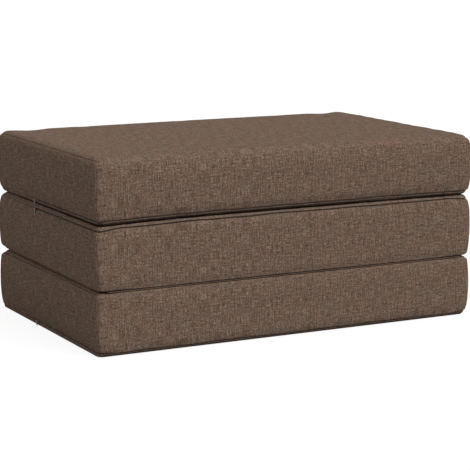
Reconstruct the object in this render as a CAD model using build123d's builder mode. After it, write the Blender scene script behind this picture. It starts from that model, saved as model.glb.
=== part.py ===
from build123d import *
from collections import namedtuple
from math import radians, sin, sqrt, tan
import os

# A fold-out guest bed that stacks into an ottoman. Three foam sections in zipped
# fabric covers lie on each other: the bottom one stands on its floor side, the
# middle one lies upside down on it, and the top one lies upright on both.
# X runs along the ottoman's width, Y from its front to its back and Z up.
# The origin is the middle of the face that the folded ottoman stands on.

# A section, which is a third of the bed's length
bed_width = 1000.0
section_depth = 633.0
section_height = 149.7
section_gap = 0.3

# Its walls swell out, are drawn in at the zip and roll over at the sleeping side
end_crown = 5.0
front_crown = 2.5
corner_radius = 14.0
corner_softening_share = 0.5
corner_chamfer_shares = (2 - sqrt(2), tan(radians(22.5)) - tan(radians(11.25)))
folded_roll = 9.0
seat_roll = 18.0
seat_crown = 4.0
seat_crown_run = 150.0
seam_draw = 2.8
seam_draw_height = 26.0
draw_level_shares = (0, 1 / 3, 2 / 3, 1)
wall_level_shares = (0.25, 0.5, 0.75, 1)
roll_angles = (22.5, 45, 67.5, 90)
crown_run_shares = (0.3, 0.65, 1)

# The zip runs round the front and part of both ends, above the base panel's facing
zip_height = 10.4
zip_slit = 1.2
zip_length_on_end = 386.0
facing_lip = 2.4
facing_draw = 8.5

# Fabric and foam
cover_thickness = 1.5
foam_clearance = 0.3
foam_chamfer = 12.0
end_seam_inset = 6.0

# Zip tapes and coils, with insets from the wall's face at the zip
coil_inset = 3.9
coil_radius = 0.6
coil_sides = 6
coil_spread = 1.05
tape_thickness = 0.6
tape_fall = 7.2
tape_coil_gap = 0.05
tape_seat_gap = 0.1
tape_overlength = 6.0
stop_length = 3.0
stop_depth = 1.8
stop_gap = 0.1

# Slider: two plates with a web that runs between the coils and out through the slit
slider_length = 11.0
slider_width = 4.0
plate_thickness = 0.8
plate_fillet = 1.2
slider_clearance = 0.25
web_thickness = 0.5
web_length = 5.0
nose_length = 10.4
nose_width = 3.4
nose_thickness = 1.0
nose_fillet = 1.2
nose_standoff = 0.8
bail_wire = 0.9
bail_reach = 3.8
bail_length = 8.4
bail_bend = 1.2
slider_stop_gap = 1.0

# Pull tab: a plate with a rolled eye round the bail and a window
pull_length = 9.6
pull_width = 4.2
pull_thickness = 1.2
pull_fillet = 1.4
eye_clearance = 0.15
eye_wall = 0.75
window_length = 2.6
window_width = 1.8
window_inset = 2.0

# Fabric hinges, each a tape that is cut at its fold line into two leaves
leaf_thickness = 0.9
fold_line_gap = 0.1
leaf_seat_gap = 0.15
leaf_side_margin = 24.0
pivot_clearance = 0.2

# One length past every face that a cut passes through
overrun = 5.0

section_pitch = section_height + section_gap
half_width = bed_width / 2
half_depth = section_depth / 2
zip_end_y = zip_length_on_end - half_depth
facing_top = zip_height - facing_lip
foam_skin = cover_thickness + foam_clearance
tape_rise = seam_draw_height * draw_level_shares[1]
coil_row_reach = coil_spread + coil_radius + tape_coil_gap
chamfer_top_level = 2

Section = namedtuple("Section", "name floor_height upside_down roll crowned")
sections = (
    Section("bottom", 0, False, folded_roll, False),
    Section("middle", section_pitch + section_height, True, folded_roll, False),
    Section("top", 2 * section_pitch, False, seat_roll, True),
)


def swell(height, crown):
    """How far a wall stands out at a height above its floor side."""
    share = height / section_height
    return 4 * crown * share * (1 - share)


def draw(height, roll, skin):
    """How far a wall is drawn in, by the zip's seam below and by the roll above."""
    draw_top = zip_height + seam_draw_height
    roll_start = section_height - roll
    if height < draw_top:
        return skin + seam_draw * ((draw_top - height) / seam_draw_height) ** 2
    if height <= roll_start:
        return skin
    return roll - sqrt(max((roll - skin) ** 2 - (height - roll_start) ** 2, 0))


def outline(height, end_inset, front_inset, radius):
    """An outline of a section at a height, whose corners are three short sides round a radius."""
    with BuildSketch(Plane.XY.offset(height)) as level:
        Rectangle(bed_width - 2 * end_inset, section_depth - 2 * front_inset)
        for share in corner_chamfer_shares:
            chamfer(level.vertices(), radius * share)
    return level.sketch


def wall_outline(height, roll, skin):
    """The wall's outline at a height: skin 0 is the cover's face, more is sunk inward."""
    inward = draw(height, roll, skin)
    radius = corner_radius + corner_softening_share * (inward - skin) - skin
    return outline(height, inward - swell(height, end_crown), inward - swell(height, front_crown), radius)


def zip_outline(height, inset):
    """An outline at a height, whose inset is measured from the wall's face at the zip."""
    end_inset = inset + seam_draw - swell(zip_height, end_crown)
    front_inset = inset + seam_draw - swell(zip_height, front_crown)
    return outline(height, end_inset, front_inset, corner_radius + corner_softening_share * seam_draw - inset)


def facing_inset(height, skin):
    """How far inside the wall's face at the zip the facing lies, slanted below its upright lip."""
    return skin + facing_draw * (facing_top - height) / facing_top


def wall_heights(roll):
    """Heights from the zip to the top of the roll at which the wall has an outline."""
    draw_top = zip_height + seam_draw_height
    roll_start = section_height - roll
    heights = [zip_height + seam_draw_height * share for share in draw_level_shares]
    return heights + [draw_top + (roll_start - draw_top) * share for share in wall_level_shares]


def upper_outlines(section, skin, lowest_level):
    """Outlines from one of the wall's levels up, round the roll and over a crowned seat."""
    roll = section.roll
    outlines = [wall_outline(height, roll, skin) for height in wall_heights(roll)[lowest_level:]]
    for angle in roll_angles:
        height = section_height - roll + (roll - skin) * sin(radians(angle))
        outlines.append(wall_outline(height, roll, skin))
    if section.crowned:
        radius = corner_radius + corner_softening_share * (roll - skin) - skin
        for share in crown_run_shares:
            inset = roll + seat_crown_run * share
            crown = seat_crown * (1 - (1 - share) ** 2)
            outlines.append(outline(section_height - skin + crown, inset, inset, radius))
    return outlines


def lofted(outlines):
    """A solid through outlines, straight from each to the next."""
    with BuildPart() as form:
        add(outlines)
        loft(ruled=True)
    return form.part


def cushion(section, skin):
    """The closed form of a covered section: the slanted facing, the wall and the top."""
    facing_outlines = [
        zip_outline(skin, facing_inset(skin, skin)),
        zip_outline(facing_top, skin),
    ]
    return lofted(facing_outlines + upper_outlines(section, skin, 0))


def cover_shell(section):
    """The whole cover, slit along its zip."""
    with BuildPart() as shell:
        add(cushion(section, 0))
        add(cushion(section, cover_thickness), mode=Mode.SUBTRACT)
        with BuildSketch(Plane.XY.offset(zip_height - zip_slit / 2)):
            with Locations((0, zip_end_y)):
                Rectangle(
                    bed_width + 2 * overrun,
                    zip_length_on_end + overrun,
                    align=(Align.CENTER, Align.MAX),
                )
        extrude(amount=zip_slit, mode=Mode.SUBTRACT)
    return shell.part


def in_front_of(y):
    """The plane that keeps what lies in front of a place in the section's depth."""
    return Plane.XZ.offset(-y)


def zip_tape(outer_outlines, inner_outlines):
    """A tape between two ruled faces that follows the zip round the front."""
    with BuildPart() as tape:
        add(lofted(outer_outlines))
        add(lofted(inner_outlines), mode=Mode.SUBTRACT)
        split(bisect_by=in_front_of(zip_end_y + tape_overlength), keep=Keep.TOP)
    return tape.part


def upper_tape(section):
    """The tape that rises from the coil to its stitching on the wall's inner face."""
    start, end = zip_height + coil_row_reach, zip_height + tape_rise
    sewn_skin = cover_thickness + tape_seat_gap
    return zip_tape(
        [
            zip_outline(start, coil_inset - tape_thickness / 2),
            wall_outline(end, section.roll, sewn_skin),
        ],
        [
            zip_outline(start, coil_inset + tape_thickness / 2),
            wall_outline(end, section.roll, sewn_skin + tape_thickness),
        ],
    )


def lower_tape():
    """The tape that falls from the coil to its stitching on the facing's inner face."""
    start, end = zip_height - tape_fall, zip_height - coil_row_reach
    sewn_inset = facing_inset(start, cover_thickness + tape_seat_gap)
    return zip_tape(
        [zip_outline(start, sewn_inset), zip_outline(end, coil_inset - tape_thickness / 2)],
        [
            zip_outline(start, sewn_inset + tape_thickness),
            zip_outline(end, coil_inset + tape_thickness / 2),
        ],
    )


# Where the coils run, and the wall's left face at the zip
zip_face_x = seam_draw - swell(zip_height, end_crown) - half_width
coil_x = zip_face_x + coil_inset
coil_front_y = coil_inset + seam_draw - swell(zip_height, front_crown) - half_depth
coil_corner_radius = corner_radius + corner_softening_share * seam_draw - coil_inset


def coil_row(height):
    """One row of the zip's coil, from the left end round the front to the right end."""
    with BuildPart() as row:
        with BuildLine(Plane.XY.offset(height)) as path:
            FilletPolyline(
                (coil_x, zip_end_y),
                (coil_x, coil_front_y),
                (-coil_x, coil_front_y),
                (-coil_x, zip_end_y),
                radius=coil_corner_radius,
            )
        with BuildSketch(Plane(origin=path.line @ 0, z_dir=path.line % 0)):
            RegularPolygon(coil_radius, coil_sides)
        sweep()
    return row.part


def zip_stop(x):
    """The sewn bar that closes off the zip behind the end of its coils."""
    with BuildPart() as stop:
        with Locations((x, zip_end_y + stop_gap, zip_height)):
            Box(
                stop_depth,
                stop_length,
                2 * (coil_row_reach - stop_gap),
                align=(Align.CENTER, Align.MIN, Align.CENTER),
            )
    return stop.part


# At rest the slider stands at the left end of its zip
slider_y = zip_end_y - slider_stop_gap - slider_length / 2
bail_x = zip_face_x - bail_reach


def plate(x_inner, length, width, thickness, corner):
    """An upright plate of the slider, with rounded corners, that grows outward from x."""
    with BuildPart() as blank:
        with BuildSketch(Plane(origin=(x_inner, slider_y, zip_height), x_dir=(0, 1, 0), z_dir=(-1, 0, 0))):
            RectangleRounded(length, width, corner)
        extrude(amount=thickness)
    return blank.part


def slider():
    """Two plates round the coils, the web through the slit, the nose and the bail."""
    plate_offset = coil_radius + slider_clearance
    nose_inner_x = zip_face_x - nose_standoff
    inner_plate_x = coil_x + plate_offset + plate_thickness
    with BuildPart() as body:
        add(plate(inner_plate_x, slider_length, slider_width, plate_thickness, plate_fillet))
        add(plate(coil_x - plate_offset, slider_length, slider_width, plate_thickness, plate_fillet))
        add(plate(nose_inner_x, nose_length, nose_width, nose_thickness, nose_fillet))
        web_reach = inner_plate_x - plate_thickness / 2 - (nose_inner_x - nose_thickness / 2)
        with Locations((nose_inner_x - nose_thickness / 2, slider_y, zip_height)):
            Box(web_reach, web_length, web_thickness, align=(Align.MIN, Align.CENTER, Align.CENTER))
        foot_x = nose_inner_x - nose_thickness / 2
        with BuildLine(Plane.XY.offset(zip_height)) as arch:
            FilletPolyline(
                (foot_x, slider_y - bail_length / 2),
                (bail_x, slider_y - bail_length / 2),
                (bail_x, slider_y + bail_length / 2),
                (foot_x, slider_y + bail_length / 2),
                radius=bail_bend,
            )
        with BuildSketch(Plane(origin=arch.line @ 0, x_dir=(0, 0, 1), z_dir=arch.line % 0)):
            Rectangle(bail_wire, bail_wire)
        sweep()
    return body.part


def pull_tab(height):
    """The pull hanging from a bail at a height: a rolled eye and a plate with a window."""
    eye_radius = bail_wire / sqrt(2) + eye_clearance
    back_edge = Plane(origin=(bail_x, slider_y + pull_width / 2, height), x_dir=(1, 0, 0), z_dir=(0, -1, 0))
    with BuildPart() as tab:
        with BuildSketch(back_edge):
            Circle(eye_radius + eye_wall)
            Rectangle(pull_thickness, pull_length, align=(Align.CENTER, Align.MAX))
            Circle(eye_radius, mode=Mode.SUBTRACT)
        extrude(amount=pull_width)
        tip_edges = tab.edges().filter_by(Axis.X).group_by(Axis.Z)[0]
        fillet(tip_edges, pull_fillet)
        window_z = height - pull_length + window_inset
        with BuildSketch(Plane.YZ.offset(bail_x)):
            with Locations((slider_y, window_z)):
                Rectangle(window_width, window_length, align=(Align.CENTER, Align.MIN))
        extrude(amount=pull_thickness, both=True, mode=Mode.SUBTRACT)
    return tab.part


# How far inward a hinge's leaf finds the folded roll at the front, and the facing at the back
front_leaf_z = section_height - leaf_thickness
front_roll_inset = draw(front_leaf_z, folded_roll, 0) - swell(front_leaf_z, front_crown)
rear_facing_inset = facing_inset(leaf_thickness, 0) + seam_draw - swell(zip_height, front_crown)


def hinge_leaf(z_low, edge_inset, side):
    """Half of a fabric hinge, from its seam on the section's edge out to the fold line.

    Side is -1 at the front and 1 at the back.
    """
    leaf_inner_y = half_depth - edge_inset + leaf_seat_gap
    leaf_outer_y = half_depth + front_crown + pivot_clearance - fold_line_gap
    with BuildPart() as leaf:
        with Locations((0, side * (leaf_inner_y + leaf_outer_y) / 2, z_low)):
            Box(
                bed_width - 2 * leaf_side_margin,
                leaf_outer_y - leaf_inner_y,
                leaf_thickness,
                align=(Align.CENTER, Align.CENTER, Align.MIN),
            )
    return leaf.part


def upper_cover(shell):
    """The cover above the zip, that is the wrap with both end panels."""
    with BuildPart() as upper:
        add(shell)
        split(bisect_by=Plane.XY.offset(zip_height), keep=Keep.TOP)
    return upper.part


def wrap(upper):
    """The fabric that runs up the front, over the sleeping side and down the back."""
    with BuildPart() as middle:
        add(upper)
        split(bisect_by=left_end_seam, keep=Keep.TOP)
        split(bisect_by=right_end_seam, keep=Keep.BOTTOM)
    return middle.part


def end_panel(upper, end_seam, kept_side):
    """The fabric panel beyond one of the two end seams."""
    with BuildPart() as panel:
        add(upper)
        split(bisect_by=end_seam, keep=kept_side)
    return panel.part


def facing(shell):
    """The slanted band between the zip and the base panel."""
    with BuildPart() as band:
        add(shell)
        split(bisect_by=Plane.XY.offset(zip_height), keep=Keep.BOTTOM)
        split(bisect_by=Plane.XY.offset(cover_thickness), keep=Keep.TOP)
    return band.part


def base_panel(shell):
    """The flat panel that lies on the floor when the bed is unfolded."""
    with BuildPart() as panel:
        add(shell)
        split(bisect_by=Plane.XY.offset(cover_thickness), keep=Keep.BOTTOM)
    return panel.part


def foam_core(section):
    """The foam block, chamfered along its floor side to leave room for the zip."""
    chamfer_foot = foam_skin + foam_chamfer
    foot = outline(foam_skin, chamfer_foot, chamfer_foot, corner_radius - foam_skin)
    return lofted([foot] + upper_outlines(section, foam_skin, chamfer_top_level))


def stacked(shape, section):
    """A section's piece, turned over where need be and set at its height in the stack."""
    if section.upside_down:
        shape = shape.mirror(Plane.XY)
    return shape.moved(Location((0, 0, section.floor_height)))


def write(piece, name):
    """Label a finished piece and write it under its name."""
    piece.part.label = name
    export_step(piece.part, f"parts/{name}.step")


os.makedirs("parts", exist_ok=True)

left_end_seam = Plane.YZ.offset(end_seam_inset - half_width)
right_end_seam = Plane.YZ.offset(half_width - end_seam_inset)

for section in sections:
    shell = cover_shell(section)
    upper = upper_cover(shell)

    with BuildPart() as core:
        add(stacked(foam_core(section), section))
    write(core, f"{section.name}_foam_core")

    with BuildPart() as cover_wrap:
        add(stacked(wrap(upper), section))
    write(cover_wrap, f"{section.name}_cover_wrap")

    with BuildPart() as left_end:
        add(stacked(end_panel(upper, left_end_seam, Keep.BOTTOM), section))
    write(left_end, f"{section.name}_left_end_panel")

    with BuildPart() as right_end:
        add(stacked(end_panel(upper, right_end_seam, Keep.TOP), section))
    write(right_end, f"{section.name}_right_end_panel")

    with BuildPart() as band:
        add(stacked(facing(shell), section))
    write(band, f"{section.name}_zip_facing")

    with BuildPart() as base:
        add(stacked(base_panel(shell), section))
    write(base, f"{section.name}_base_panel")

    with BuildPart() as tape_above:
        add(stacked(upper_tape(section), section))
    write(tape_above, f"{section.name}_zip_wall_tape")

    with BuildPart() as tape_below:
        add(stacked(lower_tape(), section))
    write(tape_below, f"{section.name}_zip_facing_tape")

    with BuildPart() as coils:
        for side in (-1, 1):
            add(stacked(coil_row(zip_height + side * coil_spread), section))
    write(coils, f"{section.name}_zip_coils")

    with BuildPart() as stops:
        for x in (coil_x, -coil_x):
            add(stacked(zip_stop(x), section))
    write(stops, f"{section.name}_zip_stops")

    with BuildPart() as zip_slider:
        add(stacked(slider(), section))
    write(zip_slider, f"{section.name}_zip_slider")

    turned = -1 if section.upside_down else 1
    with BuildPart() as zip_pull:
        add(pull_tab(section.floor_height + turned * zip_height))
    write(zip_pull, f"{section.name}_zip_pull")

bottom_section, middle_section, top_section = sections
sleeping_leaf = (front_leaf_z, front_roll_inset)
floor_leaf = (0, rear_facing_inset)

with BuildPart() as front_lower_leaf:
    add(stacked(hinge_leaf(*sleeping_leaf, -1), bottom_section))
write(front_lower_leaf, "front_hinge_bottom_leaf")

with BuildPart() as front_upper_leaf:
    add(stacked(hinge_leaf(*sleeping_leaf, -1), middle_section))
write(front_upper_leaf, "front_hinge_middle_leaf")

with BuildPart() as rear_lower_leaf:
    add(stacked(hinge_leaf(*floor_leaf, 1), middle_section))
write(rear_lower_leaf, "rear_hinge_middle_leaf")

with BuildPart() as rear_upper_leaf:
    add(stacked(hinge_leaf(*floor_leaf, 1), top_section))
write(rear_upper_leaf, "rear_hinge_top_leaf")
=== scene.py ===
from math import cos, exp, hypot, radians, sin, tanh
from typing import NamedTuple
import bmesh
import bpy
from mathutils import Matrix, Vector, kdtree, noise


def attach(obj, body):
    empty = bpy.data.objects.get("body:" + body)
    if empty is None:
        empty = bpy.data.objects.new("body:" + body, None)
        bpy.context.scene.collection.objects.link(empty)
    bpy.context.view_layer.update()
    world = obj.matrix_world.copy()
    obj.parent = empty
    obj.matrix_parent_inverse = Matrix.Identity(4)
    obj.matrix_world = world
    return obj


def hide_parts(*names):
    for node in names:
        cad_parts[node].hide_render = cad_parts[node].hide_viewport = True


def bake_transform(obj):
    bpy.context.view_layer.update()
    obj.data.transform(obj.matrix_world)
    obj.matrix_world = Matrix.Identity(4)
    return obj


# A fold-out guest bed stacked as an ottoman: three foam sections in zipped covers.
# Metres throughout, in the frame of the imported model.
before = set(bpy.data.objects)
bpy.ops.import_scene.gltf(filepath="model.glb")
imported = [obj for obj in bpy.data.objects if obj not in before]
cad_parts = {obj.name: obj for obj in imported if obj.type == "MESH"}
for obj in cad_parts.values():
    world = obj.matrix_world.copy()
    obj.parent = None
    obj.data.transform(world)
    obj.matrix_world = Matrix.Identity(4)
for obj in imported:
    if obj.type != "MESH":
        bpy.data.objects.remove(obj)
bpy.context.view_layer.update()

mm = 0.001

# A section and its cover, as in the solids
bed_width = 1000 * mm
section_depth = 633 * mm
section_height = 149.7 * mm
half_width = bed_width / 2
half_depth = section_depth / 2
end_crown = 5 * mm
front_crown = 2.5 * mm
corner_radius = 14 * mm
seam_draw = 2.8 * mm
seam_draw_top = 36.4 * mm
zip_height = 10.4 * mm
zip_end_y = 69.5 * mm
cover_thickness = 1.5 * mm
upper_crease_height = 300 * mm

# How a cover is sewn: its seams, the zip's slit and the seam that goes on from the zip's end
seam_half_gap = 0.08 * mm
seam_sink = 0.9 * mm
seam_width = 2.0 * mm
upright_seam_share = 0.1
upright_seam_end = 12 * mm
zip_half_gap = 1.4 * mm
zip_sink = 2.6 * mm
zip_fold = 1.6 * mm
past_zip_share = 0.4
facing_tuck = 1.0 * mm

# The share of its roll that an edge has midway along the front, what it gains at the ends, and at the rear
bare_seat_roll = (0.68, 0.42, 0.2)
folded_roll = (0.12, 0.75, 1.2)

# How its cloth swells and ripples
plump_cap = 5 * mm
plump_share = 0.55
plump_share_on_ends = 0.5
pucker_depth = 0.7 * mm
pucker_reach = 16 * mm
pucker_pitch = 17 * mm
pucker_rise = 60 * mm
calm_then_free = (0, 30 * mm)
calm_then_free_on_ends = (20 * mm, 45 * mm)
seat_lift = 2 * mm
foot_lift_run = 12 * mm
foot_lift_pitch = 60 * mm
foot_lift_change = 0.75

# How the line of its zip wavers along the front, and how much of the wall goes with it
waver_depth = 2.4 * mm
waver_pitch = 75 * mm
sway_fade = 40 * mm
straight_end = 8 * mm
line_reach = 18 * mm
sag_start_y = 100 * mm

# How the edges of a folded section part at the ends of a crease
end_parting = 3.0 * mm
parting_reach = 18 * mm
parting_depth = 14 * mm

# How the upper crease arches at the front
arch_rise = 5.6 * mm
arch_run = 130 * mm
arch_height = 70 * mm
arch_fall_right = 0.3

# The room that a wall leaves for its neighbour's when the bed lies open
wall_room = 2.6 * mm

# The foam, the tapes and the coil
foam_rounding = 28 * mm
foam_chamfer = 14 * mm
foam_inset = 4 * mm
foam_floor_inset = 9 * mm
tape_thickness = 0.5 * mm
tape_past_zip = 6 * mm
tape_corner = 9 * mm
zip_length_step = 20 * mm
front_band = 20 * mm
hinge_tape_margin = 24 * mm

# The divisions of a cover, finer near its edges and its zip, and of the cloth that swells it
fine_pitch = 12 * mm
edge_steps = [step * mm for step in (1.2, 2.6, 4.5, 7, 10, 14, 19, 25, 32, 40)]
wall_levels = [level * mm for level in (
    0, 2.2, 4.4, 6.6, 8.4, 10.4, 12.4, 14, 16.5, 20, 25, 30, 37, 46, 57, 69, 81, 93, 104, 113,
    121, 128, 134, 139, 143, 146, 148.2, 149.7,
)]
coarse_pitch = 15 * mm
coarse_steps = [10 * mm]
coarse_levels = [0, zip_height] + [zip_height + (section_height - zip_height) * i / 10 for i in range(1, 11)]

# A place nearer to a wall than this lies on it
touching = 1e-7

panels = ("cover_wrap", "left_end_panel", "right_end_panel", "zip_facing", "base_panel")

# Each zip tape's height above the floor side and its inset: at its low edge, then at its high one
zip_tapes = {
    "zip_wall_tape": ((12.1 * mm, 5.3 * mm), (19 * mm, 2.6 * mm)),
    "zip_facing_tape": ((3.4 * mm, 8.9 * mm), (8.7 * mm, 5.3 * mm)),
}


class Section(NamedTuple):
    """One of the three cushions as it lies in the stack, with its own chance shapes."""

    name: str
    seed: int  # of its puckers
    waver_seed: float  # of its zip's line
    floor_height: float  # of the side that lies on the floor when the bed is open
    upside_down: bool
    bare_seat: bool  # whether nothing lies against its sleeping side
    roll: float  # of the edges round its sleeping side
    zip_rise: float  # how far the zip's line rides up along the front
    front_slant: float  # how far the facing slants in along the front
    end_slant: float  # the same on the ends, near the front
    back_slant: float  # the same at the back
    foot_lift: float  # how far the edge of its floor side curls up
    rear_sag: float  # how far its wall sags over the facing behind the zip
    hinged_walls: tuple  # those that meet a neighbour's when the bed is open: -1 the front, 1 the back


sections = (
    Section(
        name="bottom", seed=1, waver_seed=22.2, floor_height=0, upside_down=False, bare_seat=False,
        roll=9 * mm, zip_rise=-2.8 * mm, front_slant=10 * mm, end_slant=1.5 * mm, back_slant=0.5 * mm,
        foot_lift=0, rear_sag=4 * mm, hinged_walls=(-1,),
    ),
    Section(
        name="middle", seed=2, waver_seed=22.2, floor_height=299.7 * mm, upside_down=True, bare_seat=False,
        roll=9 * mm, zip_rise=-2.9 * mm, front_slant=5 * mm, end_slant=5 * mm, back_slant=11 * mm,
        foot_lift=1 * mm, rear_sag=0, hinged_walls=(-1, 1),
    ),
    Section(
        name="top", seed=3, waver_seed=11.1, floor_height=300 * mm, upside_down=False, bare_seat=True,
        roll=18 * mm, zip_rise=-0.6 * mm, front_slant=8.5 * mm, end_slant=8.5 * mm, back_slant=4.3 * mm,
        foot_lift=1 * mm, rear_sag=0, hinged_walls=(1,),
    ),
)

# The camera of the photograph, solved from the stack's corners
camera_place = (-2.018, -3.9075, 0.975)
camera_yaw = radians(27.41)
camera_pitch = radians(10.08)
camera_focus_pixels = 1777
photograph_pixels = 470
camera_sensor = 36


def set_camera():
    yaw, pitch = camera_yaw, camera_pitch
    forward = Vector((sin(yaw) * cos(pitch), cos(yaw) * cos(pitch), -sin(pitch)))
    camera = bpy.data.objects.new("camera", bpy.data.cameras.new("camera"))
    bpy.context.scene.collection.objects.link(camera)
    camera.location = camera_place
    camera.rotation_mode = "QUATERNION"
    camera.rotation_quaternion = forward.to_track_quat("-Z", "Y")
    camera.data.sensor_width = camera_sensor
    camera.data.lens = camera_sensor * camera_focus_pixels / photograph_pixels
    bpy.context.scene.camera = camera
    bpy.context.scene.view_settings.view_transform = "Standard"


class Nodes:
    """The nodes of a material or of the world, made by their short names."""

    def __init__(self, tree):
        self.nodes, self.links = tree.nodes, tree.links

    def node(self, kind, **inputs):
        made = self.nodes.new(kind)
        for name, value in inputs.items():
            self.feed(made.inputs[name.replace("_", " ")], value)
        return made

    def feed(self, socket, value):
        if isinstance(value, bpy.types.NodeSocket):
            self.links.new(value, socket)
        else:
            socket.default_value = value

    def maths(self, operation, a, b):
        made = self.node("ShaderNodeMath")
        made.operation = operation
        self.feed(made.inputs[0], a)
        self.feed(made.inputs[1], b)
        return made.outputs[0]

    def added(self, a, b):
        return self.maths("ADD", a, b)

    def times(self, a, b):
        return self.maths("MULTIPLY", a, b)

    def seen(self):
        """1 where the camera looks, straight or by way of metal or glass, and 0 for the light on things."""
        path = self.node("ShaderNodeLightPath").outputs
        looked_at = self.maths("MAXIMUM", path["Is Camera Ray"], path["Is Glossy Ray"])
        return self.maths("MAXIMUM", looked_at, path["Is Transmission Ray"])

    def mixed(self, share, a, b):
        made = self.node("ShaderNodeMixShader", Fac=share)
        self.feed(made.inputs[1], a)
        self.feed(made.inputs[2], b)
        return made.outputs[0]


class Finish(Nodes):
    """A material, with the patterns that a maker would see in it."""

    def __init__(self, name, color, roughness, metallic=0.0):
        self.material = bpy.data.materials.new(name)
        self.material.use_nodes = True
        super().__init__(self.material.node_tree)
        self.shader = self.nodes["Principled BSDF"]
        self.shader.inputs["Base Color"].default_value = (*color, 1)
        self.shader.inputs["Roughness"].default_value = roughness
        self.shader.inputs["Metallic"].default_value = metallic
        self.material.diffuse_color = (*color, 1)

    def place(self, scale=(1, 1, 1), turn=0, by_cloth=False):
        """Where a point lies: in the frame, or on the cloth that it belongs to."""
        source = self.node("ShaderNodeTexCoord").outputs["UV" if by_cloth else "Object"]
        mapping = self.node("ShaderNodeMapping", Vector=source)
        mapping.inputs["Scale"].default_value = scale
        mapping.inputs["Rotation"].default_value = (0, 0, turn)
        return mapping.outputs["Vector"]

    def speckle(self, place, scale=1, detail=2, rough=0.5):
        made = self.node("ShaderNodeTexNoise", Vector=place, Scale=scale, Detail=detail, Roughness=rough)
        return made.outputs["Fac"]

    def ribs(self, place, scale, direction="X"):
        made = self.node("ShaderNodeTexWave", Vector=place, Scale=scale)
        made.bands_direction = direction
        return made.outputs["Fac"]

    def ramp(self, value, *stops):
        made = self.node("ShaderNodeValToRGB", Fac=value)
        marks = made.color_ramp.elements
        for mark, (at, color) in zip(marks, (stops[0], stops[-1])):
            mark.position, mark.color = at, (*color, 1)
        for at, color in stops[1:-1]:
            mark = marks.new(at)
            mark.color = (*color, 1)
        return made.outputs["Color"]

    def shaded(self, share, color, shade):
        """A colour multiplied by a share of a shade."""
        made = self.node("ShaderNodeMix")
        made.data_type, made.blend_type = "RGBA", "MULTIPLY"
        self.feed(made.inputs[0], share)
        self.feed(made.inputs[6], color)
        self.feed(made.inputs[7], shade)
        return made.outputs[2]

    def bump(self, height, distance, strength=1.0):
        made = self.node("ShaderNodeBump", Height=height, Distance=distance, Strength=strength)
        self.feed(self.shader.inputs["Normal"], made.outputs["Normal"])

    def paint(self, color):
        self.feed(self.shader.inputs["Base Color"], color)


def melange_cloth():
    """Linen-look cloth: short slubs both ways in yarns of mixed browns, over a fine plain weave."""
    cloth = Finish("brown melange cloth", (0.165, 0.112, 0.083), 1.0)
    flecks = cloth.speckle(cloth.place((300, 215, 1), by_cloth=True), detail=2)
    warp_slubs = cloth.speckle(cloth.place((345, 28, 1), by_cloth=True), detail=1)
    weft_slubs = cloth.speckle(cloth.place((36, 360, 1), by_cloth=True), detail=1)
    patches = cloth.speckle(cloth.place((24, 24, 1), by_cloth=True), detail=1)
    slubs = cloth.added(cloth.times(warp_slubs, 0.28), cloth.times(weft_slubs, 0.24))
    yarn = cloth.added(cloth.times(flecks, 0.48), slubs)
    tone = cloth.ramp(
        yarn,
        (0.345, (0.060, 0.037, 0.026)),
        (0.460, (0.138, 0.092, 0.068)),
        (0.540, (0.188, 0.130, 0.097)),
        (0.655, (0.310, 0.230, 0.180)),
    )
    hue = cloth.ramp(patches, (0.35, (1.04, 0.985, 0.96)), (0.65, (0.97, 1.01, 0.99)))
    tone = cloth.shaded(0.8, tone, hue)
    warp = cloth.ribs(cloth.place(by_cloth=True), 210, "X")
    weft = cloth.ribs(cloth.place(by_cloth=True), 175, "Y")
    weave = cloth.times(warp, weft)
    shade = cloth.ramp(weave, (0.0, (0.82, 0.82, 0.82)), (0.6, (1.07, 1.07, 1.07)))
    cloth.paint(cloth.shaded(0.6, tone, shade))
    cloth.bump(cloth.added(yarn, cloth.times(weave, 0.3)), 0.5 * mm, 0.6)
    cloth.shader.inputs["Specular IOR Level"].default_value = 0.03
    return cloth.material


def base_cloth():
    """The dark plain cloth of a floor side, with a little lint."""
    cloth = Finish("dark plain base cloth", (0.035, 0.025, 0.02), 0.95)
    warp = cloth.ribs(cloth.place(by_cloth=True), 260, "X")
    weft = cloth.ribs(cloth.place(by_cloth=True), 260, "Y")
    weave = cloth.times(warp, weft)
    lint = cloth.speckle(cloth.place((160, 160, 1), by_cloth=True), detail=4, rough=0.7)
    tone = cloth.ramp(lint, (0.35, (0.026, 0.018, 0.014)), (0.7, (0.052, 0.038, 0.031)))
    shade = cloth.ramp(weave, (0.0, (0.7, 0.7, 0.7)), (0.6, (1.1, 1.1, 1.1)))
    cloth.paint(cloth.shaded(0.8, tone, shade))
    cloth.bump(weave, 0.3 * mm, 0.5)
    cloth.shader.inputs["Specular IOR Level"].default_value = 0.06
    return cloth.material


def woven_tape(name, color, by_cloth=False):
    """A twill tape, a little worn."""
    tape = Finish(name, color, 0.85)
    twill = tape.ribs(tape.place(turn=radians(45), by_cloth=by_cloth), 300, "DIAGONAL")
    lint = tape.speckle(tape.place((260, 260, 260), by_cloth=by_cloth), detail=3)
    worn = tuple(1.5 * c for c in color)
    tone = tape.ramp(lint, (0.35, color), (0.7, worn))
    shade = tape.ramp(twill, (0.0, (0.65, 0.65, 0.65)), (0.7, (1.15, 1.15, 1.15)))
    tape.paint(tape.shaded(0.8, tone, shade))
    tape.bump(twill, 0.2 * mm, 0.5)
    tape.shader.inputs["Specular IOR Level"].default_value = 0.08
    return tape.material


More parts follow.
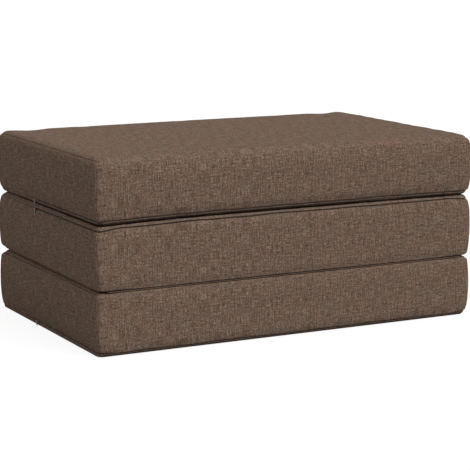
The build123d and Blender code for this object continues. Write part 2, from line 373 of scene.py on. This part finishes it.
def coil_plastic():
    """The zip's coil, its turns 1.4 mm apart whichever way it runs, with a little dust."""
    coil = Finish("brown zip coil", (0.05, 0.033, 0.024), 0.5)
    along = coil.node("ShaderNodeSeparateXYZ", Vector=coil.place())
    turns = coil.ribs(coil.place(turn=radians(45)), 225, "DIAGONAL")
    run = coil.added(along.outputs["X"], along.outputs["Y"])
    dust = coil.speckle(coil.place((400, 400, 400)), detail=2)
    coil.paint(coil.ramp(dust, (0.4, (0.040, 0.026, 0.018)), (0.7, (0.075, 0.052, 0.038))))
    wave = coil.maths("SINE", coil.times(run, 4500), 0)
    coil.bump(coil.added(wave, coil.times(turns, 0.2)), 0.25 * mm, 0.9)
    return coil.material


def zip_metal():
    """Dark nickel plating, brushed, with faint spots."""
    metal = Finish("dark nickel", (0.10, 0.094, 0.087), 0.38, 1.0)
    brushing = metal.speckle(metal.place((300, 300, 2600)), detail=3, rough=0.7)
    spots = metal.speckle(metal.place((900, 900, 900)), detail=2)
    metal.paint(metal.ramp(spots, (0.35, (0.070, 0.066, 0.061)), (0.65, (0.130, 0.122, 0.113))))
    gloss = metal.ramp(brushing, (0.35, (0.26, 0.26, 0.26)), (0.7, (0.48, 0.48, 0.48)))
    metal.feed(metal.shader.inputs["Roughness"], gloss)
    metal.bump(brushing, 0.05 * mm, 0.4)
    return metal.material


def open_cell_foam():
    """Pale foam with its cells open, each cell painted darker towards its middle as shade."""
    foam = Finish("open-cell foam", (0.85, 0.82, 0.68), 0.95)
    cells = foam.node("ShaderNodeTexVoronoi", Vector=foam.place(), Scale=900.0).outputs["Distance"]
    tint = foam.speckle(foam.place((14, 14, 14)), detail=2)
    tone = foam.ramp(tint, (0.3, (0.80, 0.76, 0.60)), (0.7, (0.88, 0.85, 0.72)))
    # Painted shade: each open cell darker towards its middle, where it sinks into the foam
    pore_shade = foam.ramp(cells, (0.05, (0.72, 0.70, 0.62)), (0.4, (1.0, 1.0, 1.0)))
    foam.paint(foam.shaded(1.0, tone, pore_shade))
    foam.bump(cells, 0.6 * mm, 0.6)
    foam.shader.inputs["Subsurface Weight"].default_value = 0.05
    return foam.material


# The form of a covered section, worked out from places on a plain block, which the code calls flat
def swell(height, crown):
    """How far a wall bulges out at a height."""
    share = height / section_height
    return 4 * crown * share * (1 - share)


def draw(height, slant):
    """How far a wall is drawn in at a height, towards its zip and down its slanted facing."""
    inward = seam_draw * (max(seam_draw_top - height, 0) / (seam_draw_top - zip_height)) ** 2
    return min(inward, seam_draw) + slant * max(zip_height - height, 0) / zip_height


def depth_share(place):
    """0 at the front and 1 at the back."""
    return (place.y + half_depth) / section_depth


def near_end(flat):
    """0 along most of the width, rising to 1 at both ends."""
    return (abs(flat.x) / half_width) ** 12


def plan_inset(flat):
    """How far a place lies inside the block's outline, seen from above."""
    return min(half_width - abs(flat.x), half_depth - abs(flat.y))


def on_end(flat):
    return half_width - abs(flat.x) < touching


def rounded_plan(x, y, radius):
    """A place in the plan once its corners are rounded, the way out from it and its inset from the wall."""
    core_x = max(min(x, half_width - radius), radius - half_width)
    core_y = max(min(y, half_depth - radius), radius - half_depth)
    out_x, out_y = x - core_x, y - core_y
    reach = max(abs(out_x), abs(out_y))
    length = hypot(out_x, out_y)
    if length == 0:
        return x, y, 0, 0, min(half_width - abs(x), half_depth - abs(y))
    turned = reach / length
    return core_x + out_x * turned, core_y + out_y * turned, out_x / length, out_y / length, radius - reach


def roll_at(flat, section):
    """How far an edge is rolled: a folded section's is tight along the front and looser at its free rear."""
    least, end_gain, rear_gain = bare_seat_roll if section.bare_seat else folded_roll
    end_gain *= near_end(flat)
    rear_gain *= depth_share(flat) ** 2
    gain = max(end_gain, rear_gain) if section.bare_seat else end_gain + rear_gain
    return section.roll * (least + gain)


def formed(flat, section):
    """Where a place on a plain block comes to lie on the covered section."""
    roll = roll_at(flat, section)
    roll_start = section_height - roll
    over = max(flat.z - roll_start, 0)
    radius = corner_radius + 0.5 * over * over / roll
    x, y, out_x, out_y, inset = rounded_plan(flat.x, flat.y, radius)
    height = flat.z
    inner = max(roll - inset, 0)
    if over > 0 and inner > 0:
        pull = max(over, inner) / hypot(over, inner)
        shift = inner - inner * pull
        x, y = x - out_x * shift, y - out_y * shift
        height = roll_start + over * pull
    if section.bare_seat:
        height += seat_lift * (flat.z / section_height) ** 2
    level = min(height, section_height)
    end_slant = section.end_slant + (section.back_slant - section.end_slant) * depth_share(flat) ** 2
    front_or_back_slant = section.front_slant if y < 0 else section.back_slant
    x *= 1 + (swell(level, end_crown) - draw(level, end_slant)) / half_width
    y *= 1 + (swell(level, front_crown) - draw(level, front_or_back_slant)) / half_depth
    return Vector((x, y, height))


def spaced(length, near, pitch):
    """Places across a length: close together near both its ends, and even in between."""
    middle = length - 2 * near[-1]
    steps = round(middle / pitch)
    inner = [near[-1] + middle * i / steps for i in range(1, steps)]
    return [0, *near, *inner, *(length - step for step in reversed(near)), length]


def block_at(places_x, places_y, places_z):
    """A plain block of a section's size, divided at given places, its floor side at zero."""
    places = (places_x, places_y, places_z)
    form = bmesh.new()
    bmesh.ops.create_cube(form, size=1)
    for axis, along_axis in enumerate(places):
        along = [e for e in form.edges if abs((e.verts[0].co - e.verts[1].co)[axis]) > 0.5]
        bmesh.ops.subdivide_edges(form, edges=along, cuts=len(along_axis) - 2, use_grid_fill=True)
    for vert in form.verts:
        shares = vert.co + Vector((0.5, 0.5, 0.5))
        x, y, z = (steps[round(share * (len(steps) - 1))] for steps, share in zip(places, shares))
        vert.co = (x - half_width, y - half_depth, z)
    return form


def seam_distances(flat):
    """How far a place on the block lies from the end seams and from the zip's line."""
    from_end = half_width - abs(flat.x)
    if from_end < touching:
        from_end = min(half_depth - abs(flat.y), section_height - flat.z)
        if flat.z <= zip_height:
            from_end = half_depth - abs(flat.y)
    on_wall = from_end >= 0 and 0 < flat.z < section_height
    from_zip = abs(flat.z - zip_height) if on_wall else 1.0
    return max(from_end, 0), from_zip


def zip_sway(x, section):
    """How far the zip's line rides up or sinks at a place along a front, and not at all on the ends."""
    waver = waver_depth * noise.noise(Vector((x / waver_pitch, section.waver_seed, 0.2)))
    return (waver + section.zip_rise) * min(max(half_width - straight_end - abs(x), 0) / sway_fade, 1)


def line_shift(flat, section):
    """How far the wall rises or sinks with the zip's line, and with the sag of the seam behind it."""
    share = exp(-(((flat.z - zip_height) / line_reach) ** 2)) * min(flat.z / zip_height, 1)
    shift = -section.rear_sag * min(max(flat.y / sag_start_y - 1, 0), 1)
    if abs(flat.y) > half_depth - 1 * mm:
        shift += zip_sway(flat.x, section)
    return shift * share


def edge_shift(flat, section):
    """How far a folded section's edge sinks at its ends, and how far a floor side's edge curls up."""
    inset = plan_inset(flat)
    shift = 0
    rising = max(1 - (section_height - flat.z) / parting_depth, 0)
    if rising > 0 and not section.bare_seat:
        shift -= end_parting * near_end(flat) * exp(-((inset / parting_reach) ** 2)) * rising
    if flat.z < zip_height:
        place = Vector((flat.x, flat.y, 0)) / foot_lift_pitch + Vector((0, 0, section.seed))
        lift = section.foot_lift * (1 + foot_lift_change * noise.noise(place))
        shift += lift * exp(-((inset / foot_lift_run) ** 2)) * (1 - flat.z / zip_height)
    return shift


def arch(place):
    """How far the top two sections ride up at the front, where they meet. Their left corner stays down."""
    falling = 1 if place.x < 0 else arch_fall_right
    across = max(1 - falling * (place.x / (half_width - straight_end)) ** 4, 0)
    behind = (place.y + half_depth) / arch_run
    above = (place.z - upper_crease_height) / arch_height
    return arch_rise * across * exp(-behind * behind - above * above)


def calm(flat):
    """0 where the cover lies on its neighbour or floor or runs past a slider, 1 where it is free."""
    low, high = calm_then_free_on_ends if on_end(flat) else calm_then_free
    share = min(max((flat.z - low) / (high - low), 0), 1)
    return share * share * (3 - 2 * share)


def sewn_depth(flat):
    """How far a seam, or the zip's slit, draws the cover in."""
    from_end, from_zip = seam_distances(flat)
    upright = upright_seam_share if flat.z < section_height - upright_seam_end else 1.0
    seam = exp(-((from_end / seam_width) ** 2)) * seam_sink * upright
    zip_share = 1 if flat.y < zip_end_y + 2 * mm else past_zip_share
    slit = exp(-((from_zip / zip_fold) ** 2)) * zip_sink * zip_share
    return max(seam, slit)


def pucker(flat, section):
    """The depth of the ripples that the stitches leave beside a seam."""
    place = Vector((flat.x, flat.y, 0)) / pucker_pitch + Vector((section.seed, 0, flat.z / pucker_rise))
    return pucker_depth * noise.noise(place) * exp(-min(seam_distances(flat)) / pucker_reach)


def with_room(place, section):
    """A place kept out of the floor, the next section and, when the bed is open, its neighbour's wall."""
    side = 1 if place.y > 0 else -1
    beyond = side * place.y - half_depth
    if beyond > 0 and side in section.hinged_walls:
        place.y = side * (half_depth + wall_room * tanh(beyond / wall_room))
    place.z = max(place.z, 0)
    if not section.bare_seat:
        place.z = min(place.z, section_height)
    return place


# The cover as a cloth that is blown out between its seams
def plumped(form, flats):
    """How far each place of the cloth moves."""
    mesh = bpy.data.meshes.new("plumping")
    form.to_mesh(mesh)
    body = bpy.data.objects.new("plumping", mesh)
    bpy.context.scene.collection.objects.link(body)
    held = body.vertex_groups.new(name="held")
    for index, flat in enumerate(flats):
        sewn = min(seam_distances(flat)) < 1e-6 or flat.z == 0
        resting = 0.15 if plan_inset(flat) > 50 * mm else 0.0
        held.add([index], 1.0 if sewn else resting, "REPLACE")
    cloth = body.modifiers.new("Cloth", "CLOTH")
    cloth.settings.vertex_group_mass = "held"
    cloth.settings.use_pressure = True
    cloth.settings.uniform_pressure_force = 4
    cloth.settings.effector_weights.gravity = 0
    cloth.settings.quality = 4
    cloth.settings.tension_stiffness = 12
    cloth.settings.compression_stiffness = 12
    cloth.settings.shear_stiffness = 5
    cloth.settings.bending_stiffness = 0.4
    cloth.settings.shrink_min = -0.012
    frames = 20
    cloth.point_cache.frame_end = frames
    scene = bpy.context.scene
    for step in range(1, frames + 1):
        scene.frame_set(step)
    shaped = body.evaluated_get(bpy.context.evaluated_depsgraph_get())
    moves = [Vector(after.co) - before.co for before, after in zip(mesh.vertices, shaped.data.vertices)]
    scene.frame_set(1)
    bpy.data.objects.remove(body)
    return moves


def spread_moves(moves, flats, fine_flats):
    """The cloth's moves carried over to a finer division of the same block."""
    tree = kdtree.KDTree(len(flats))
    for index, flat in enumerate(flats):
        tree.insert(flat, index)
    tree.balance()
    carried = []
    for flat in fine_flats:
        near = tree.find_n(flat, 4)
        weights = [1 / (distance + 1 * mm) for _, _, distance in near]
        move = sum((moves[index] * w for (_, index, _), w in zip(near, weights)), Vector())
        move /= sum(weights)
        carried.append(move * min(1, plump_cap / max(move.length, 1e-9)))
    return carried


def plump_moves(section, fine_flats):
    """The moves of a coarse cover's cloth, for each place of the fine one."""
    rough = block_at(
        spaced(bed_width, coarse_steps, coarse_pitch),
        spaced(section_depth, coarse_steps, coarse_pitch),
        coarse_levels,
    )
    flats = [vert.co.copy() for vert in rough.verts]
    for vert, flat in zip(rough.verts, flats):
        vert.co = formed(flat, section)
    moves = spread_moves(plumped(rough, flats), flats, fine_flats)
    rough.free()
    return moves


# The panels of a cover
def panel_of(face):
    """The panel that a face of the block is cut from."""
    middle = face.calc_center_median()
    if face.normal.z < -0.5:
        return "base_panel"
    if face.normal.z < 0.5 and middle.z < zip_height:
        return "zip_facing"
    if abs(face.normal.x) > 0.5:
        return "left_end_panel" if middle.x < 0 else "right_end_panel"
    return "cover_wrap"


def lay_cloth(form, flats):
    """Gives each face of the block its place on the cloth, in metres: across it, then along its run."""
    cloth = form.loops.layers.uv.new("cloth")
    for face in form.faces:
        for loop in face.loops:
            x, y, z = flats[loop.vert.index]
            if abs(face.normal.z) > 0.5:
                place = (x, section_height + y + half_depth)
            elif abs(face.normal.y) > 0.5:
                behind = 2 * section_height + section_depth - z
                place = (x, z if face.normal.y < 0 else behind)
            else:
                place = (y + 2, z)
            loop[cloth].uv = place


def covered_section(section):
    """The whole cover of a section as one closed form, with its panels and its cloth laid out."""
    form = block_at(
        spaced(bed_width, edge_steps, fine_pitch), spaced(section_depth, edge_steps, fine_pitch), wall_levels
    )
    flats = [vert.co.copy() for vert in form.verts]
    form.normal_update()
    panel = form.faces.layers.int.new("panel")
    for face in form.faces:
        face[panel] = panels.index(panel_of(face))
    form.verts.index_update()
    lay_cloth(form, flats)

    moves = plump_moves(section, flats)
    for vert, flat in zip(form.verts, flats):
        vert.co = formed(flat, section)
    form.normal_update()
    for vert, flat, move in zip(form.verts, flats, moves):
        free = calm(flat)
        place = vert.co - vert.normal * (sewn_depth(flat) + pucker(flat, section) * free)
        place += move * plump_share * free * (plump_share_on_ends if on_end(flat) else 1)
        place.z += line_shift(flat, section) + edge_shift(flat, section)
        vert.co = with_room(place, section)
    return form, flats


# The pieces of a section
def settle(form):
    """Lets a form that stands in the stack go along with the arch of the upper crease."""
    for vert in form.verts:
        vert.co.z += arch(vert.co)


def stacked(form, section):
    """Sets a section's form at its height in the stack, turned over where need be."""
    if section.upside_down:
        for vert in form.verts:
            vert.co.z = -vert.co.z
        bmesh.ops.reverse_faces(form, faces=form.faces[:])
    bmesh.ops.translate(form, vec=(0, 0, section.floor_height), verts=form.verts[:])
    settle(form)


def outward(flat):
    """Away from the block in plan, at a place on its wall."""
    sides = (flat.x / half_width, flat.y / half_depth)
    return Vector([side if abs(side) > 0.9999 else 0 for side in sides] + [0]).normalized()


def set_back_edges(piece, is_facing):
    """Draws a panel's raw edges back from its seams, and the facing's in under the zip's flap."""
    targets = []
    for vert in piece.verts:
        if not vert.is_boundary:
            continue
        inner = [e.other_vert(vert).co for e in vert.link_edges if not e.is_boundary]
        if not inner:
            inner = [e.other_vert(vert).co for e in vert.link_edges]
        towards = sum(inner, Vector()) / len(inner) - vert.co
        flat = vert[piece.verts.layers.float_vector["flat"]]
        on_zip = abs(flat.z - zip_height) < 1e-6 and flat.y < zip_end_y
        target = vert.co + towards.normalized() * (zip_half_gap if on_zip else seam_half_gap)
        if on_zip and is_facing:
            target -= outward(flat) * facing_tuck
        targets.append((vert, target))
    for vert, target in targets:
        vert.co = target


def object_from(piece, name, material, smooth=True):
    """Makes a finished bmesh an object of the scene, in its material."""
    mesh = bpy.data.meshes.new(name)
    piece.to_mesh(mesh)
    piece.free()
    mesh.materials.append(material)
    for polygon in mesh.polygons:
        polygon.use_smooth = smooth
    body = bpy.data.objects.new(name, mesh)
    bpy.context.scene.collection.objects.link(body)
    return body


def thicken(body, thickness, offset):
    """Gives a sheet its thickness: inwards at an offset of -1, and both ways at 0."""
    wall = body.modifiers.new("Thickness", "SOLIDIFY")
    wall.thickness = thickness
    wall.offset = offset


def soften(body):
    soft = body.modifiers.new("Soft edges", "SUBSURF")
    soft.levels = soft.render_levels = 1


def sew_covers(section):
    """Cuts the covered section at its seams into the panels that it is sewn from."""
    form, flats = covered_section(section)
    flat_layer = form.verts.layers.float_vector.new("flat")
    for vert, flat in zip(form.verts, flats):
        vert[flat_layer] = flat
    stacked(form, section)
    for index, panel in enumerate(panels):
        piece = form.copy()
        layer = piece.faces.layers.int["panel"]
        others = [face for face in piece.faces if face[layer] != index]
        bmesh.ops.delete(piece, geom=others, context="FACES")
        set_back_edges(piece, panel == "zip_facing")
        material = dark_base if panel == "base_panel" else melange
        body = object_from(piece, f"{section.name}_{panel}_cloth", material)
        thicken(body, cover_thickness, -1)
        soften(body)
        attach(body, f"{section.name}_section")
        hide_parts(f"{section.name}_{panel}")
    form.free()


def foam_block(section):
    """The foam inside a cover, cut back along its floor side for the zip."""
    piece = bmesh.new()
    bmesh.ops.create_cube(piece, size=1)
    height = section_height - foam_inset - foam_floor_inset
    size = (bed_width - 2 * foam_inset, section_depth - 2 * foam_inset, height)
    bmesh.ops.scale(piece, vec=size, verts=piece.verts[:])
    bmesh.ops.translate(piece, vec=(0, 0, foam_floor_inset + height / 2), verts=piece.verts[:])
    low = [e for e in piece.edges if all(v.co.z < section_height / 2 for v in e.verts)]
    bmesh.ops.bevel(
        piece, geom=low, offset=foam_chamfer, segments=1, profile=0.5, affect="EDGES", material=-1
    )
    rest = [e for e in piece.edges if e.is_manifold and e.calc_face_angle(0) > radians(60)]
    bmesh.ops.bevel(
        piece, geom=rest, offset=foam_rounding, segments=5, profile=0.5, affect="EDGES", material=-1
    )
    stacked(piece, section)
    body = object_from(piece, f"{section.name}_foam_block", foam)
    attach(body, f"{section.name}_section")
    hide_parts(f"{section.name}_foam_core")


def follow_zip(piece, section, up=1):
    """Cuts a straight piece of the zip into short lengths, and lets its front follow the zip's line."""
    steps = int(half_width / zip_length_step)
    for step in range(1 - steps, steps):
        whole = piece.verts[:] + piece.edges[:] + piece.faces[:]
        bmesh.ops.bisect_plane(
            piece, geom=whole, dist=1e-6, plane_co=(step * zip_length_step, 0, 0), plane_no=(1, 0, 0)
        )
    for vert in piece.verts:
        if vert.co.y < front_band - half_depth:
            vert.co.z += up * zip_sway(vert.co.x, section)


def zip_coils(section):
    """Both rows of the coil, let down and up with the zip's line."""
    piece = bmesh.new()
    piece.from_mesh(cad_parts[f"{section.name}_zip_coils"].data)
    bmesh.ops.remove_doubles(piece, verts=piece.verts[:], dist=1e-6)
    follow_zip(piece, section, up=-1 if section.upside_down else 1)
    settle(piece)
    body = object_from(piece, f"{section.name}_zip_coil_rows", coil, smooth=False)
    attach(body, f"{section.name}_section")
    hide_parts(f"{section.name}_zip_coils")


def zip_tape(section, kind, low, high):
    """A woven tape behind the slit, from one height and inset to another."""
    piece = bmesh.new()
    bmesh.ops.create_cube(piece, size=1)
    caps = [f for f in piece.faces if abs(f.normal.z) > 0.5 or f.normal.y > 0.5]
    bmesh.ops.delete(piece, geom=caps, context="FACES")
    for vert in piece.verts:
        height, inset = high if vert.co.z > 0 else low
        vert.co.x = (half_width - inset) * (1 if vert.co.x > 0 else -1)
        vert.co.y = zip_end_y + tape_past_zip if vert.co.y > 0 else inset - half_depth
        vert.co.z = height
    corners = [e for e in piece.edges if not e.is_boundary]
    bmesh.ops.bevel(
        piece, geom=corners, offset=tape_corner, segments=5, profile=0.5, affect="EDGES", material=-1
    )
    follow_zip(piece, section)
    for vert in piece.verts:
        vert.co.z = max(vert.co.z, cover_thickness)
    stacked(piece, section)
    body = object_from(piece, f"{section.name}_{kind}_woven", zip_cloth)
    thicken(body, tape_thickness, 0)
    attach(body, f"{section.name}_section")
    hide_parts(f"{section.name}_{kind}")


# The hinges between the sections
def fabric_hinge(name, leaves, side, fold_height, fold_y, inner_y):
    """One tape folded in two in the crease between two sections, sewn to both."""
    inside_fold = ((5.3, 0.29), (2.9, 0.31), (0.9, 0.30), (0.35, 0.20))
    lower_leaf = [(inner_y, -0.27 * mm)]
    lower_leaf += [(fold_y - inward * mm, -half_gap * mm) for inward, half_gap in inside_fold]
    upper_leaf = [(y, -z) for y, z in reversed(lower_leaf)]
    profile = [*lower_leaf, (fold_y - 0.15 * mm, 0), *upper_leaf]
    end_x = half_width - hinge_tape_margin
    piece = bmesh.new()
    row = [piece.verts.new((-end_x, side * y, fold_height + z)) for y, z in profile]
    edges = [piece.edges.new(pair) for pair in zip(row, row[1:])]
    drawn = bmesh.ops.extrude_edge_only(piece, edges=edges)["geom"]
    far = [v for v in drawn if isinstance(v, bmesh.types.BMVert)]
    bmesh.ops.translate(piece, vec=(2 * end_x, 0, 0), verts=far)
    along = [e for e in piece.edges if abs((e.verts[0].co - e.verts[1].co).x) > end_x]
    bmesh.ops.subdivide_edges(piece, edges=along, cuts=95, use_grid_fill=True)
    bmesh.ops.recalc_face_normals(piece, faces=piece.faces[:])
    cloth = piece.loops.layers.uv.new("cloth")
    for face in piece.faces:
        for loop in face.loops:
            loop[cloth].uv = (loop.vert.co.x, loop.vert.co.y + 4 * loop.vert.co.z)
    body = object_from(piece, name, hinge_cloth)
    thicken(body, tape_thickness, 0)
    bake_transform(body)
    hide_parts(*leaves)


# The zip parts that keep their solids
def finish_nodes():
    """Gives them their materials."""
    finishes = {"zip_stops": zip_cloth, "zip_slider": metal, "zip_pull": metal}
    for section in sections:
        for kind, material in finishes.items():
            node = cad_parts[f"{section.name}_{kind}"]
            node.data.materials.clear()
            node.data.materials.append(material)


# The studio
floor_gap = 0.4 * mm


def pale_floor():
    """A pale floor that the camera sees as white, with the stack's soft shadow on it."""
    piece = bmesh.new()
    bmesh.ops.create_grid(piece, x_segments=1, y_segments=1, size=30)
    bmesh.ops.translate(piece, vec=(0, 0, -floor_gap), verts=piece.verts[:])
    floor = Finish("pale floor", (0.3, 0.3, 0.3), 0.9)
    white = floor.node("ShaderNodeEmission", Color=(1, 1, 1, 1), Strength=0.9)
    soft = floor.node("ShaderNodeBsdfDiffuse", Color=(0.13, 0.13, 0.13, 1))
    lit = floor.node("ShaderNodeAddShader")
    floor.feed(lit.inputs[0], white.outputs[0])
    floor.feed(lit.inputs[1], soft.outputs[0])
    surface = floor.mixed(floor.seen(), floor.shader.outputs[0], lit.outputs[0])
    floor.feed(floor.nodes["Material Output"].inputs["Surface"], surface)
    object_from(piece, "pale_floor", floor.material)


def studio_world(ambient):
    """A plain soft light from all round, seen as white."""
    world = bpy.data.worlds.new("studio")
    bpy.context.scene.world = world
    world.use_nodes = True
    sky = Nodes(world.node_tree)
    light = sky.nodes["Background"]
    light.inputs["Color"].default_value = (1, 1, 1, 1)
    light.inputs["Strength"].default_value = ambient
    white = sky.node("ShaderNodeBackground", Color=(1, 1, 1, 1))
    surface = sky.mixed(sky.seen(), light.outputs[0], white.outputs[0])
    sky.feed(sky.nodes["World Output"].inputs["Surface"], surface)


def soft_sun(name, shining_from, strength, softness):
    """A lamp so far off that its light is even, with shadows as soft as its width in degrees."""
    sun = bpy.data.lights.new(name, "SUN")
    sun.energy = strength
    sun.angle = radians(softness)
    body = bpy.data.objects.new(name, sun)
    bpy.context.scene.collection.objects.link(body)
    body.location = Vector(shining_from) * 4
    body.rotation_mode = "QUATERNION"
    body.rotation_quaternion = (-Vector(shining_from)).to_track_quat("-Z", "Y")


melange = melange_cloth()
dark_base = base_cloth()
zip_cloth = woven_tape("dark zip tape", (0.045, 0.028, 0.019))
hinge_cloth = woven_tape("brown hinge tape", (0.150, 0.103, 0.077), by_cloth=True)
coil = coil_plastic()
metal = zip_metal()
foam = open_cell_foam()

set_camera()
for section in sections:
    sew_covers(section)
    foam_block(section)
    zip_coils(section)
    for kind, (low, high) in zip_tapes.items():
        zip_tape(section, kind, low, high)
fabric_hinge(
    "front_fabric_hinge",
    ("front_hinge_bottom_leaf", "front_hinge_middle_leaf"),
    side=-1, fold_height=149.85 * mm, fold_y=315.3 * mm, inner_y=304 * mm,
)
fabric_hinge(
    "rear_fabric_hinge",
    ("rear_hinge_middle_leaf", "rear_hinge_top_leaf"),
    side=1, fold_height=299.85 * mm, fold_y=312.4 * mm, inner_y=298 * mm,
)
finish_nodes()
pale_floor()
studio_world(ambient=0.52)
soft_sun("key light", (0.22, -0.56, 0.58), strength=2.14, softness=30)
soft_sun("fill light", (-0.9, -0.15, 0.3), strength=0.15, softness=40)
